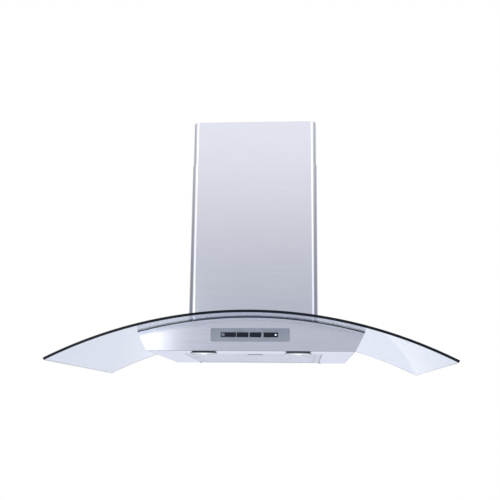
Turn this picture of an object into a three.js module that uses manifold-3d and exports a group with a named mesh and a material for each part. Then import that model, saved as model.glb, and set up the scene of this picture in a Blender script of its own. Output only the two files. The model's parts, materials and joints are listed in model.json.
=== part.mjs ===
// Island range hood with a curved glass canopy, hung from the ceiling on a telescopic frame.
// Units are millimetres. The origin is the centre of the ceiling plate's top face.
// +Z is up and -Y is the front.
import * as THREE from "three";
import { mergeVertices } from "three/addons/utils/BufferGeometryUtils.js";
import Module from "manifold-3d";

const wasm = await Module();
wasm.setup();

// ---------------------------------------------------------------- driving dimensions

const SHEET = 1; // stainless sheet of the covers, panels and boxes
const GAP = 0.3; // clearance between pieces that rest on each other
const ARCH_STEP = Math.PI / 180; // angle between the points of every arch: the arches stay parallel

// The canopy is a sheet of glass bent round one axis that runs front to back.
const glass = { halfWidth: 450, halfDepth: 300, thick: 6, radius: 1000, crest: -500 };
const ARCH_CENTRE = glass.crest - glass.radius;
const GASKET_THICK = 1.2;
const GASKET_WIDTH = 9;
const glassUnder = glass.radius - glass.thick;
const panelArch = glassUnder - GASKET_THICK - 2 * GAP;

// The body is a shallow tray under the glass, and its ends lean inwards towards the bottom.
const body = { topHalf: 259, bottomHalf: 237.3, halfDepth: 222, bottom: -583.5 };
const innerHalfDepth = body.halfDepth - SHEET - GAP;

// The two covers of the chimney telescope: the lower one slides outside the upper one.
const lowerCover = { halfWidth: 156, halfDepth: 140, corner: 16, top: -112.7, tongueTop: -466 };
const upperCover = {
  halfWidth: 154.6, halfDepth: 138.6, corner: 14.6, top: -1, bottom: -352, tongueTop: -25,
};
const TONGUE = { width: 20, thick: 0.8 };

// The ceiling plate has a hole for the duct, and a slot for a ceiling screw near each corner.
const ductHole = { halfX: 125, halfY: 85 };
const ceilingSlot = { x: 80, y: 110, halfX: 11, halfY: 4 };

// The frame: an L-section leg in each corner of the chimney, the upper ones outside the lower ones.
const LEG = { arm: 22, thick: 2 };
const upperLeg = { outerX: 147, outerY: 132, top: -2.3, bottom: -420 };
const lowerLeg = {
  outerX: upperLeg.outerX - LEG.thick - GAP,
  outerY: upperLeg.outerY - LEG.thick - GAP,
  top: -120,
};
const CLAMP_BOLT = { x: 90, y: 119, radius: 3, headRadius: 5.5, headThick: 4, nutThick: 5 };
const FRAME_BOLT = { y: 119, z: -140, radius: 3, headRadius: 5, headThick: 3, nutThick: 4 };
const ADJUST = { down: 200, up: 50 }; // travel of the height adjustment, which the leg slots allow

// The saddle frame stands on the glass round its cut-out and carries the lower legs and the motor box.
const saddle = { halfX: 146, halfY: 131, top: -493, thick: 2, floor: -530, corner: 4 };
const cutout = { halfX: 128, halfY: 103, corner: 8 };

// The motor box passes up through the cut-out and holds the blower.
const motorBox = { halfX: 125, halfY: 100, top: -263 };
const scroll = {
  z: -385,
  tongueAngle: 95,
  tongueRadius: 84,
  outletRadius: 118,
  halfDepth: 60,
  inlet: 66,
  top: motorBox.top - SHEET - GAP,
};
const wheel = { radius: 78, inner: 66, halfDepth: 50, blades: 24, hub: 14 };
const shaftRadius = 4;
const motorSize = { radius: 46, front: 10, back: 84 };
const collar = { x: 46, radius: 75, height: 56, flangeHalf: 78 };
const flap = { radius: 72.4, thick: 1.2, axisX: 3.5, z: -238, pin: 2, hole: 2.6 };

// The grease filter drops its front edge about a line at its rear edge.
const filter = { halfX: 164, front: -127, rear: 202.5, thick: 10, frame: 14 };
const filterOpening = { halfX: 165, front: -127.8, rear: 204 };
const latch = { x: 5, padHalfX: 30, padDepth: 48, travel: 6 };

// Two spot lamps stand in the strip in front of the filter.
const lamp = {
  x: 109, y: -188, bezel: 32, drop: 5, lip: 24, seat: 27, sleeve: 28.2, can: 28, canHeight: 22,
};

// The control strip in the front panel.
const control = { z: -547.6, halfX: 90, halfZ: 15, corner: 3.5, sleeveX: 75.5, sleeveZ: 11.6 };
const keySpans = [[-66.6, -32.3], [-30.3, -3.8], [-0.8, 25], [31, 53.8]];
const indicatorSpan = [54.1, 63.1];
const KEY_HEIGHT = 10.4;

// ---------------------------------------------------------------- materials

const paint = (color, roughness, metalness, more = {}) =>
  new THREE.MeshStandardMaterial({ color, roughness, metalness, ...more });
const stainless = paint(0xc9ccd6, 0.32, 1);
const zincSteel = paint(0xa9adb0, 0.45, 1);
const boltSteel = paint(0x8c9094, 0.35, 1);
const canopyGlass = paint(0xe4ecf4, 0.04, 0, { transparent: true, opacity: 0.35 });
const lensGlass = paint(0xf2f0e8, 0.2, 0, { transparent: true, opacity: 0.55 });
const rubber = paint(0x16181b, 0.7, 0);
const bezelGrey = paint(0x929aa6, 0.45, 0.3);
const keyBlack = paint(0x20262c, 0.25, 0);
const indicatorWhite = paint(0xe9eef2, 0.2, 0);
const chrome = paint(0xb9b4ab, 0.12, 1);
const meshAluminium = paint(0xb6bbc4, 0.4, 1);
const moulded = paint(0x2b2e33, 0.55, 0);
const motorEnamel = paint(0x3f4449, 0.4, 0.6);
const boardGreen = paint(0x1f5a3a, 0.5, 0);
const bulbGlass = paint(0xfff3d8, 0.1, 0);

// ---------------------------------------------------------------- geometry helpers

// A closed mesh's geometry as a solid.
function solid(geometry) {
  const bare = geometry.clone();
  bare.deleteAttribute("normal");
  bare.deleteAttribute("uv");
  const merged = mergeVertices(bare, 1e-4);
  return new wasm.Manifold(
    new wasm.Mesh({
      numProp: 3,
      vertProperties: new Float32Array(merged.attributes.position.array),
      triVerts: new Uint32Array(merged.index.array),
    }),
  );
}

// A solid's surface as a flat-shaded geometry.
function surface(made) {
  const mesh = made.getMesh();
  const points = new Float32Array(mesh.numVert * 3);
  for (let i = 0; i < mesh.numVert; i += 1) {
    points.set(mesh.vertProperties.subarray(i * mesh.numProp, i * mesh.numProp + 3), i * 3);
  }
  const indexed = new THREE.BufferGeometry();
  indexed.setAttribute("position", new THREE.BufferAttribute(points, 3));
  indexed.setIndex(new THREE.BufferAttribute(mesh.triVerts, 1));
  const flat = indexed.toNonIndexed();
  flat.computeVertexNormals();
  return flat;
}

// A block between two corners.
function block(x0, x1, y0, y1, z0, z1) {
  const box = new THREE.BoxGeometry(x1 - x0, y1 - y0, z1 - z0);
  return solid(box.translate((x0 + x1) / 2, (y0 + y1) / 2, (z0 + z1) / 2));
}

// A shape drawn in plan, as a prism from z0 up to z1.
function upright(shape, z0, z1, curveSegments = 8) {
  const options = { depth: z1 - z0, bevelEnabled: false, curveSegments };
  const prism = new THREE.ExtrudeGeometry(shape, options);
  return solid(prism.translate(0, 0, z0));
}

// A shape drawn in front elevation, with its second coordinate as height, as a prism from y0 to y1.
function across(shape, y0, y1, curveSegments = 8) {
  const options = { depth: y1 - y0, bevelEnabled: false, curveSegments };
  const prism = new THREE.ExtrudeGeometry(shape, options);
  return solid(prism.rotateX(Math.PI / 2).translate(0, y1, 0));
}

function roundedRectangle(halfX, halfY, corner, centreY = 0) {
  const shape = new THREE.Shape();
  const x = halfX - corner;
  const y = halfY - corner;
  shape.moveTo(-x, centreY - halfY);
  shape.lineTo(x, centreY - halfY);
  shape.absarc(x, centreY - y, corner, -Math.PI / 2, 0);
  shape.lineTo(halfX, centreY + y);
  shape.absarc(x, centreY + y, corner, 0, Math.PI / 2);
  shape.lineTo(-x, centreY + halfY);
  shape.absarc(-x, centreY + y, corner, Math.PI / 2, Math.PI);
  shape.lineTo(-halfX, centreY - y);
  shape.absarc(-x, centreY - y, corner, Math.PI, Math.PI * 1.5);
  return shape;
}

const polygon = (points) => new THREE.Shape(points.map(([x, y]) => new THREE.Vector2(x, y)));

// A disc or drum on a vertical axis.
function drum(radius, z0, z1, segments = 24, x = 0, y = 0) {
  const cylinder = new THREE.CylinderGeometry(radius, radius, z1 - z0, segments);
  return solid(cylinder.rotateX(Math.PI / 2).translate(x, y, (z0 + z1) / 2));
}

// The same with its axis front to back.
function drumAcross(radius, y0, y1, segments = 24, x = 0, z = 0) {
  const cylinder = new THREE.CylinderGeometry(radius, radius, y1 - y0, segments);
  return solid(cylinder.translate(x, (y0 + y1) / 2, z));
}

// A ring turned about the vertical axis from a closed profile of [radius, height] points.
function turned(profile, segments = 28) {
  const points = [...profile, profile[0]].map(([r, z]) => new THREE.Vector2(r, z));
  return solid(new THREE.LatheGeometry(points, segments).rotateX(Math.PI / 2));
}

const joined = (...pieces) => pieces.reduce((a, b) => a.add(b));
const cut = (from, ...tools) => tools.reduce((a, b) => a.subtract(b), from);

// Points along an arch of a given radius about the canopy's axis, from one side to the other.
function archPoints(radius, halfX) {
  const end = Math.asin(halfX / radius);
  const angles = [-end];
  for (let a = Math.ceil(-end / ARCH_STEP); a * ARCH_STEP < end; a += 1) {
    if (a * ARCH_STEP - angles[angles.length - 1] > ARCH_STEP / 4) angles.push(a * ARCH_STEP);
  }
  if (end - angles[angles.length - 1] < ARCH_STEP / 4) angles.pop();
  angles.push(end);
  return angles.map((a) => [radius * Math.sin(a), ARCH_CENTRE + radius * Math.cos(a)]);
}

const archHeight = (x, radius) => ARCH_CENTRE + Math.sqrt(radius * radius - x * x);

// A bent sheet between two concentric arches, from front to back.
function archSheet(outer, inner, halfX, halfY) {
  const under = archPoints(inner, (halfX * inner) / outer).reverse();
  return across(polygon([...archPoints(outer, halfX), ...under]), -halfY, halfY);
}

// Everything under an arch, for trimming edges that stand on it.
function belowArch(radius) {
  const halfX = 300;
  const floor = -700;
  const outline = [[-halfX, floor], ...archPoints(radius, halfX), [halfX, floor]];
  return across(polygon(outline), -halfX, halfX);
}

// ---------------------------------------------------------------- assembly helpers

const hood = new THREE.Group();

function place(parent, name, made, material, position = [0, 0, 0]) {
  const mesh = new THREE.Mesh(made instanceof THREE.BufferGeometry ? made : surface(made), material);
  mesh.name = name;
  mesh.position.set(...position);
  parent.add(mesh);
  return mesh;
}

function groupIn(parent, x = 0, y = 0, z = 0) {
  const group = new THREE.Group();
  group.position.set(x, y, z);
  parent.add(group);
  return group;
}

// The four corners of the frame, as the side each one is on.
const corners = [
  ["front_left", -1, -1],
  ["front_right", 1, -1],
  ["rear_left", -1, 1],
  ["rear_right", 1, 1],
];

// ---------------------------------------------------------------- ceiling frame

function ceilingPlate() {
  const halfX = upperCover.halfWidth - SHEET - GAP;
  const halfY = upperCover.halfDepth - SHEET - GAP;
  const skirt = 20;
  const plate = cut(
    upright(roundedRectangle(halfX, halfY, upperCover.corner - SHEET - GAP), -2, 0),
    upright(roundedRectangle(ductHole.halfX, ductHole.halfY, 10), -3, 1),
    ...corners.map(([, sx, sy]) => {
      const { x, y, halfX: slotX, halfY: slotY } = ceilingSlot;
      return block(-slotX, slotX, -slotY, slotY, -3, 1).translate([sx * x, sy * y, 0]);
    }),
  );
  // Skirts that the upper cover is screwed to, and tabs inside the legs.
  const skirts = [
    block(-40, 40, -halfY, -halfY + 1.5, -skirt, -1),
    block(-40, 40, halfY - 1.5, halfY, -skirt, -1),
    block(-halfX, -halfX + 1.5, -30, 30, -skirt, -1),
    block(halfX - 1.5, halfX, -30, 30, -skirt, -1),
  ];
  const tabOuter = upperLeg.outerX - LEG.thick - GAP;
  const tabs = corners.map(([, sx, sy]) => {
    const xs = [sx * tabOuter, sx * (tabOuter - 2)].sort((a, b) => a - b);
    const ys = [sy * 112, sy * 128].sort((a, b) => a - b);
    return block(xs[0], xs[1], ys[0], ys[1], -26, -1);
  });
  return joined(plate, ...skirts, ...tabs);
}

// An L-section leg for the rear right corner; the other corners mirror it.
function legSection(leg, bottom, ...openings) {
  const { outerX: x, outerY: y } = leg;
  const section = polygon([
    [x, y],
    [x - LEG.arm, y],
    [x - LEG.arm, y - LEG.thick],
    [x - LEG.thick, y - LEG.thick],
    [x - LEG.thick, y - LEG.arm],
    [x, y - LEG.arm],
  ]);
  return cut(upright(section, bottom, leg.top), ...openings);
}

function upperLegSolid() {
  const clear = 4;
  const slot = block(
    upperLeg.outerX - 10, upperLeg.outerX + 10,
    FRAME_BOLT.y - clear, FRAME_BOLT.y + clear,
    FRAME_BOLT.z - ADJUST.down - 2 * clear, FRAME_BOLT.z + ADJUST.up + 2 * clear,
  );
  return legSection(upperLeg, upperLeg.bottom, slot);
}

const boltHoleAcrossX = () =>
  drumAcross(FRAME_BOLT.radius + 0.4, -20, 20, 12)
    .rotate([0, 0, 90])
    .translate([lowerLeg.outerX, FRAME_BOLT.y, FRAME_BOLT.z]);

const lowerLegSolid = () => legSection(lowerLeg, saddle.top + GAP, boltHoleAcrossX());

// A bolt with its nut, on the X axis: the shank runs from the nut to the head.
function frameBoltSolid() {
  const head = upperLeg.outerX + GAP;
  const nut = lowerLeg.outerX - LEG.thick - GAP;
  const shank = drumAcross(FRAME_BOLT.radius, nut - 6, head + 1, 12);
  const headDrum = drumAcross(FRAME_BOLT.headRadius, head, head + FRAME_BOLT.headThick, 12);
  const nutDrum = drumAcross(FRAME_BOLT.headRadius + 0.5, nut - FRAME_BOLT.nutThick, nut, 6);
  const bolt = joined(shank, headDrum, nutDrum).rotate([0, 0, -90]);
  return bolt.translate([0, FRAME_BOLT.y, FRAME_BOLT.z]);
}

function mirroredCorner(parent, name, made, material, sx, sy) {
  const mesh = place(parent, name, made, material);
  mesh.scale.set(sx, sy, 1);
  return mesh;
}

// ---------------------------------------------------------------- chimney covers

// One half of a telescopic cover: a U of bent sheet. The rear half carries the tongues inside the
// front half's edges, and the lower cover's tongues are short, to stay clear of the upper cover.
function coverHalf(cover, bottom, side) {
  const inner = { x: cover.halfWidth - SHEET, y: cover.halfDepth - SHEET, r: cover.corner - SHEET };
  const outline = roundedRectangle(cover.halfWidth, cover.halfDepth, cover.corner);
  outline.holes.push(roundedRectangle(inner.x, inner.y, inner.r));
  const tube = upright(outline, bottom, cover.top, 7);
  const seam = 0.2;
  const keep = side < 0
    ? block(-200, 200, -200, -seam, bottom - 1, cover.top + 1)
    : block(-200, 200, seam, 200, bottom - 1, cover.top + 1);
  const half = tube.intersect(keep);
  if (side < 0) return half;
  const tongues = [-1, 1].flatMap((s) => {
    const x = [s * (inner.x - 0.2), s * (inner.x - 0.2 - TONGUE.thick)].sort((a, b) => a - b);
    const weld = [s * (inner.x + 0.2), s * (inner.x - 0.6)].sort((a, b) => a - b);
    return [
      block(x[0], x[1], -TONGUE.width / 2, TONGUE.width / 2, bottom, cover.tongueTop),
      block(weld[0], weld[1], 2, TONGUE.width / 2, bottom, cover.tongueTop),
    ];
  });
  return joined(half, ...tongues);
}

// Rows of vent slots in the sides of the upper cover, near its top.
function ventSlots(side) {
  const slots = [];
  for (let row = 0; row < 5; row += 1) {
    const z = -32 - 9 * row;
    const y = side * 34;
    slots.push(block(-200, 200, y - 18, y + 18, z - 2, z + 2));
  }
  return slots;
}

const upperCoverHalf = (side) =>
  cut(coverHalf(upperCover, upperCover.bottom, side), ...ventSlots(side));

const lowerCoverHalf = (side) =>
  cut(coverHalf(lowerCover, glass.crest - 30, side), belowArch(glass.radius + GAP));

// ---------------------------------------------------------------- canopy and body

const clampPoints = corners.map(([, sx, sy]) => [sx * CLAMP_BOLT.x, sy * CLAMP_BOLT.y]);
const clampHoles = (radius) => clampPoints.map(([x, y]) => drum(radius, -560, -480, 12, x, y));

function canopy() {
  return cut(
    archSheet(glass.radius, glassUnder, glass.halfWidth, glass.halfDepth),
    upright(roundedRectangle(cutout.halfX, cutout.halfY, cutout.corner), -560, -480, 4),
    ...clampHoles(5),
  );
}

function gasket() {
  const outer = glassUnder - GAP;
  const innerX = body.topHalf - GASKET_WIDTH;
  const innerY = body.halfDepth - GASKET_WIDTH;
  return cut(
    archSheet(outer, outer - GASKET_THICK, body.topHalf, body.halfDepth),
    block(-innerX, innerX, -innerY, innerY, -600, -400),
  );
}

function panelOutline() {
  const top = archPoints(panelArch, body.topHalf).reverse();
  return polygon([[-body.bottomHalf, body.bottom], [body.bottomHalf, body.bottom], ...top]);
}

function frontPanel() {
  const window = roundedRectangle(control.sleeveX + 0.6, control.sleeveZ + 0.6, 1, control.z);
  return cut(
    across(panelOutline(), -body.halfDepth, -body.halfDepth + SHEET),
    across(window, -body.halfDepth - 1, -body.halfDepth + 2, 2),
  );
}

const rearPanel = () => across(panelOutline(), body.halfDepth - SHEET, body.halfDepth);

// The right-hand end panel leans inwards; the left-hand one mirrors it.
function endPanel() {
  const top = archHeight(body.topHalf, panelArch);
  const width = SHEET * 1.12;
  const outline = [
    [body.topHalf, top],
    [body.topHalf - width, top],
    [body.bottomHalf - width, body.bottom],
    [body.bottomHalf, body.bottom],
  ];
  return across(polygon(outline), -innerHalfDepth, innerHalfDepth);
}

function topPlate() {
  return cut(
    archSheet(panelArch, panelArch - SHEET, body.topHalf - 1.6, innerHalfDepth),
    block(-122, 122, -97, 97, -600, -400),
    ...clampHoles(CLAMP_BOLT.radius + 0.4),
  );
}

function bottomPanel() {
  const halfX = body.bottomHalf - SHEET * 1.12 - GAP - 0.2;
  const z = body.bottom;
  const { halfX: openX, front, rear } = filterOpening;
  const plate = block(-halfX, halfX, -innerHalfDepth, innerHalfDepth, z, z + SHEET);
  // Edges folded up along the front and sides of the filter opening stiffen it.
  const lipHeight = 14;
  const lips = [
    block(-openX - SHEET, openX + SHEET, front - SHEET, front, z, z + lipHeight),
    block(-openX - SHEET, -openX, front - SHEET, rear, z, z + lipHeight),
    block(openX, openX + SHEET, front - SHEET, rear, z, z + lipHeight),
  ];
  return cut(
    joined(plate, ...lips),
    block(-openX, openX, front, rear, z - 1, z + SHEET + 1),
    ...[-1, 1].map((s) => drum(lamp.sleeve + GAP, z - 1, z + 2, 28, s * lamp.x, lamp.y)),
  );
}

function saddleFrame() {
  const { halfX, halfY, top, thick, floor, corner } = saddle;
  return cut(
    upright(roundedRectangle(halfX, halfY, corner), floor, top, 3),
    upright(roundedRectangle(halfX - thick, halfY - thick, corner - thick), floor - 1, top - thick, 3),
    upright(roundedRectangle(cutout.halfX, cutout.halfY, 2), floor, top + 1, 2),
    belowArch(glass.radius + GAP),
    ...clampHoles(CLAMP_BOLT.radius + 0.4),
  );
}

// A clamp bolt hangs from the saddle through the glass and the top plate, with its nut underneath.
function clampBoltSolid() {
  const under = archHeight(CLAMP_BOLT.x + CLAMP_BOLT.headRadius, panelArch - SHEET) - GAP;
  const seat = saddle.top + GAP;
  return joined(
    drum(CLAMP_BOLT.radius, under - 8, seat + 1, 12),
    drum(CLAMP_BOLT.headRadius, seat, seat + CLAMP_BOLT.headThick, 6),
    drum(CLAMP_BOLT.headRadius, under - CLAMP_BOLT.nutThick, under, 6),
  );
}

// ---------------------------------------------------------------- blower

function motorBoxSolid() {
  const { halfX, halfY, top } = motorBox;
  const flangeZ = saddle.top + GAP;
  const low = glass.crest - 30;
  const outside = joined(
    block(-halfX, halfX, -halfY, halfY, low, top),
    block(-halfX - 6, halfX + 6, -halfY - 6, halfY + 6, flangeZ, flangeZ + SHEET),
  );
  return cut(
    outside,
    block(-halfX + SHEET, halfX - SHEET, -halfY + SHEET, halfY - SHEET, low - 1, top - SHEET),
    block(-9, 119, -61, 61, top - 5, top + 5),
    belowArch(panelArch + GAP),
  );
}

// The scroll's outline, grown inwards by inset and carried up past its mouth by rise.
function scrollOutline(inset, rise) {
  const { z, tongueAngle, tongueRadius, outletRadius, top } = scroll;
  const steps = 26;
  const points = [];
  for (let i = 0; i <= steps; i += 1) {
    const share = i / steps;
    const angle = ((tongueAngle + (360 - tongueAngle) * share) * Math.PI) / 180;
    const radius = tongueRadius + (outletRadius - tongueRadius) * share - inset;
    points.push([radius * Math.cos(angle), z + radius * Math.sin(angle)]);
  }
  const tongueX = points[0][0] + inset;
  points[0][0] = tongueX;
  return polygon([...points, [outletRadius - inset, top + rise], [tongueX, top + rise]]);
}

function voluteHalf(side) {
  const wall = SHEET;
  const outer = across(scrollOutline(0, 0), 0.15, scroll.halfDepth);
  const hollow = across(scrollOutline(wall, 5), -1, scroll.halfDepth - wall);
  const inlet = drumAcross(scroll.inlet, 0, scroll.halfDepth + 5, 32, 0, scroll.z);
  const half = cut(outer, hollow, inlet);
  return side > 0 ? half : half.mirror([0, 1, 0]);
}

// A double-inlet wheel: a middle disc, blades through it and a ring at each end.
function impellerWheel() {
  const { radius, inner, halfDepth, blades, hub } = wheel;
  const ring = (y0, y1) => cut(drumAcross(radius, y0, y1, 36), drumAcross(inner, y0 - 1, y1 + 1, 36));
  const disc = cut(
    joined(drumAcross(radius - 1, -1, 1, 36), drumAcross(hub, -9, 9, 16)),
    drumAcross(shaftRadius + GAP, -20, 20, 16),
  );
  const bladeSet = [];
  for (let i = 0; i < blades; i += 1) {
    const blade = block(inner + 1, radius - 1, -0.6, 0.6, -halfDepth + 1, halfDepth - 1);
    const pitched = blade.rotate([90, 0, 0]).translate([-72, 0, 0]).rotate([0, 35, 0]);
    bladeSet.push(pitched.translate([72, 0, 0]).rotate([0, (360 * i) / blades, 0]));
  }
  return joined(disc, ring(-halfDepth, -halfDepth + 3), ring(halfDepth - 3, halfDepth), ...bladeSet);
}

// The motor, with a flange of three arms that are screwed to the volute's rear wall.
function motorSolid() {
  const { radius, front, back } = motorSize;
  const armY = scroll.halfDepth + GAP;
  const arm = block(44, 80, armY, armY + 2.5, -7, 7);
  const arms = [90, 210, 330].map((angle) => arm.rotate([0, angle, 0]));
  return cut(
    joined(
      drumAcross(radius, front + 6, back - 8, 32),
      drumAcross(radius - 10, front, back, 32),
      drumAcross(radius + 8, armY, armY + 2.5, 32),
      ...arms,
    ),
    drumAcross(shaftRadius + GAP, front - 1, front + 40, 16),
  );
}

function outletCollar() {
  const base = motorBox.top + GAP;
  const half = collar.flangeHalf;
  const tube = cut(
    joined(
      block(-half, half, -half, half, base, base + SHEET),
      drum(collar.radius, base, base + collar.height, 40),
    ),
    drum(collar.radius - SHEET, base - 1, base + collar.height + 1, 40),
  );
  const holes = [-1, 1].map((s) => drumAcross(flap.hole, -90, 90, 10, s * flap.axisX, flap.z));
  return cut(tube, ...holes);
}

// The right-hand damper flap: a half disc with a pin along its straight edge.
function damperFlap() {
  const { radius, thick, axisX, z, pin } = flap;
  const disc = cut(
    drum(radius, z - thick / 2, z + thick / 2, 40),
    block(-100, axisX, -100, 100, z - 5, z + 5),
  );
  return joined(disc, drumAcross(pin, -collar.radius + 0.4, collar.radius - 0.4, 10, axisX, z));
}

// ---------------------------------------------------------------- filter

const padLeft = latch.x - latch.padHalfX;
const padRight = latch.x + latch.padHalfX;

function filterFrame() {
  const { halfX, front, rear, thick, frame } = filter;
  const z = body.bottom;
  const padEnd = front + latch.padDepth;
  const ring = cut(
    block(-halfX, halfX, front, rear, z, z + thick),
    block(-halfX + frame, halfX - frame, front + frame, rear - frame, z - 1, z + thick + 1),
  );
  const pad = block(padLeft, padRight, front + 1, padEnd, z, z + thick);
  // Hooks at the rear edge lie on top of the bottom panel.
  const hooks = [-1, 1].map((s) => {
    const x = s * 110;
    return joined(
      block(x - 12, x + 12, rear - 8, rear + 6.5, z + SHEET + 0.4, z + SHEET + 1.6),
      block(x - 12, x + 12, rear - 8, rear - 1, z + 1, z + SHEET + 1.6),
    );
  });
  return cut(
    joined(ring, pad, ...hooks),
    block(latch.x - 18, latch.x + 18, front + 8, padEnd - 6, z - 1, z + 6),
    block(latch.x - 7.6, latch.x + 7.6, front - 1, front + 9, z + 1.6, z + 4.8),
  );
}

// The porous pack inside the filter frame, with a notch round the latch pad.
function filterPack() {
  const { halfX, front, rear, frame } = filter;
  const z = body.bottom;
  const inset = frame + GAP;
  const notchEnd = front + latch.padDepth + GAP;
  return cut(
    block(-halfX + inset, halfX - inset, front + inset, rear - inset, z + 3, z + 6),
    block(padLeft - GAP, padRight + GAP, front, notchEnd, z, z + 10),
  );
}

// The sliding latch: a finger plate in the pad's pocket. Its tongue ends just short of the tray's lip.
function latchSolid() {
  const { front, thick } = filter;
  const z = body.bottom;
  const plateEnd = front + latch.padDepth - 6 - latch.travel - GAP;
  return joined(
    block(latch.x - 15, latch.x + 15, front + 9, plateEnd, z + 2, z + thick - 4.4),
    block(latch.x - 7, latch.x + 7, filterOpening.front + GAP, front + 10, z + 2, z + 4.4),
    block(latch.x - 8.5, latch.x + 8.5, plateEnd - 5, plateEnd - 1, z + 0.4, z + 3),
  );
}

// ---------------------------------------------------------------- lamps

// Lamp pieces are drawn round the lamp's own axis, with height 0 at the body's underside.
const lampBezel = () =>
  turned([
    [lamp.lip, -lamp.drop],
    [lamp.bezel - 1.5, -lamp.drop],
    [lamp.bezel, -lamp.drop + 1.5],
    [lamp.bezel, -GAP],
    [lamp.sleeve, -GAP],
    [lamp.sleeve, 5],
    [lamp.seat, 5],
    [lamp.seat, -lamp.drop + 1.4],
    [lamp.lip, -lamp.drop + 1.4],
  ]);

// The lens rests on the bezel's lip and fills its mouth.
function lampLens() {
  const seat = -lamp.drop + 1.4 + GAP;
  return joined(
    drum(lamp.seat - 0.4, seat, seat + 2, 28),
    drum(lamp.lip - 0.4, -lamp.drop + 0.2, seat + 1, 28),
  );
}

// The can is a cup with a conical reflector inside.
function lampCan() {
  const base = 5 + GAP;
  const top = base + lamp.canHeight;
  const outside = drum(lamp.can, base, top, 28);
  const cone = solid(
    new THREE.CylinderGeometry(9, lamp.can - 1.5, lamp.canHeight - 2, 28)
      .rotateX(Math.PI / 2)
      .translate(0, 0, base - 0.01 + (lamp.canHeight - 2) / 2),
  );
  return cut(outside, cone);
}

// The bulb is a capsule that hangs from the can's closed end.
function lampBulb() {
  const top = 5 + lamp.canHeight - 2 - GAP;
  return joined(drum(4.5, top - 13, top, 12), drum(3, top - 16, top - 12, 12));
}

// ---------------------------------------------------------------- controls

function controlBezel() {
  const front = -body.halfDepth - 2.2;
  const back = -body.halfDepth - GAP;
  const { z, halfX, halfZ, corner, sleeveX, sleeveZ } = control;
  const plate = across(roundedRectangle(halfX, halfZ, corner, z), front, back, 5);
  const wall = 1.2;
  const sleeve = cut(
    block(-sleeveX, sleeveX, back - 0.5, back + 3.5, z - sleeveZ, z + sleeveZ),
    block(-sleeveX + wall, sleeveX - wall, back, back + 5, z - sleeveZ + wall, z + sleeveZ - wall),
  );
  const reach = KEY_HEIGHT / 2 + GAP;
  const openings = keySpans.map(([left, right]) => [left - GAP, right + GAP]);
  openings.at(-1)[1] = indicatorSpan[1] + GAP;
  const windows = openings.map(([x0, x1]) => block(x0, x1, front - 1, back + 1, z - reach, z + reach));
  return cut(joined(plate, sleeve), ...windows);
}

// A key cap with the plunger that presses its switch, at height 0.
function keyCap([left, right]) {
  const front = -body.halfDepth - 3;
  const middle = (left + right) / 2;
  return joined(
    block(left, right, front, front + 8, -KEY_HEIGHT / 2, KEY_HEIGHT / 2),
    block(middle - 3, middle + 3, front + 7, front + 16, -2, 2),
  );
}

function controlHousing() {
  const { sleeveX: x, sleeveZ: h, z } = control;
  const front = -body.halfDepth + 3.6;
  return cut(
    block(-x, x, front, front + 18.5, z - h, z + h),
    block(-x + 1.2, x - 1.2, front - 1, front + 17.3, z - h + 1.2, z + h - 1.2),
  );
}

const controlBoard = () =>
  block(-72, 72, -body.halfDepth + 15.8, -body.halfDepth + 17.4, control.z - 9, control.z + 9);

function indicatorLens() {
  const [left, right] = indicatorSpan;
  const { halfDepth } = body;
  return block(left, right, -halfDepth - 2.6, -halfDepth + 2, -KEY_HEIGHT / 2, KEY_HEIGHT / 2);
}

// ---------------------------------------------------------------- electrics

const powerBox = () => block(-55, 55, motorBox.halfY + GAP, motorBox.halfY + 22, -420, -330);
const cableGland = () =>
  turned([[4.5, 0], [10, 0], [10, 5], [8, 6], [8, 12], [4.5, 12]], 16);

// ---------------------------------------------------------------- the assembly

const ceilingFrame = groupIn(hood);
place(ceilingFrame, "ceiling_plate", ceilingPlate(), zincSteel);
place(ceilingFrame, "upper_cover_front", upperCoverHalf(-1), stainless);
place(ceilingFrame, "upper_cover_rear", upperCoverHalf(1), stainless);

const hoodBody = groupIn(hood);
const upperLegGeometry = surface(upperLegSolid());
const lowerLegGeometry = surface(lowerLegSolid());
const frameBoltGeometry = surface(frameBoltSolid());
const clampBoltGeometry = surface(clampBoltSolid());
for (const [where, sx, sy] of corners) {
  mirroredCorner(ceilingFrame, `upper_leg_${where}`, upperLegGeometry, zincSteel, sx, sy);
  mirroredCorner(hoodBody, `lower_leg_${where}`, lowerLegGeometry, zincSteel, sx, sy);
  mirroredCorner(hoodBody, `frame_bolt_${where}`, frameBoltGeometry, boltSteel, sx, sy);
  place(hoodBody, `clamp_bolt_${where}`, clampBoltGeometry, boltSteel, [
    sx * CLAMP_BOLT.x,
    sy * CLAMP_BOLT.y,
    0,
  ]);
}

place(hoodBody, "lower_cover_front", lowerCoverHalf(-1), stainless);
place(hoodBody, "lower_cover_rear", lowerCoverHalf(1), stainless);

place(hoodBody, "glass_canopy", canopy(), canopyGlass);
place(hoodBody, "glass_gasket", gasket(), rubber);
place(hoodBody, "saddle_frame", saddleFrame(), zincSteel);
place(hoodBody, "front_panel", frontPanel(), stainless);
place(hoodBody, "rear_panel", rearPanel(), stainless);
place(hoodBody, "top_plate", topPlate(), stainless);
place(hoodBody, "bottom_panel", bottomPanel(), stainless);
const endPanelGeometry = surface(endPanel());
place(hoodBody, "end_panel_right", endPanelGeometry, stainless);
place(hoodBody, "end_panel_left", endPanelGeometry, stainless).scale.x = -1;

place(hoodBody, "motor_box", motorBoxSolid(), zincSteel);
place(hoodBody, "volute_front", voluteHalf(-1), moulded);
place(hoodBody, "volute_rear", voluteHalf(1), moulded);
place(hoodBody, "outlet_collar", outletCollar(), moulded, [collar.x, 0, 0]);
const damper = groupIn(hoodBody, collar.x, 0, 0);
const flapGeometry = surface(damperFlap());
place(damper, "damper_flap_right", flapGeometry, moulded);
place(damper, "damper_flap_left", flapGeometry, moulded).scale.x = -1;

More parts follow.
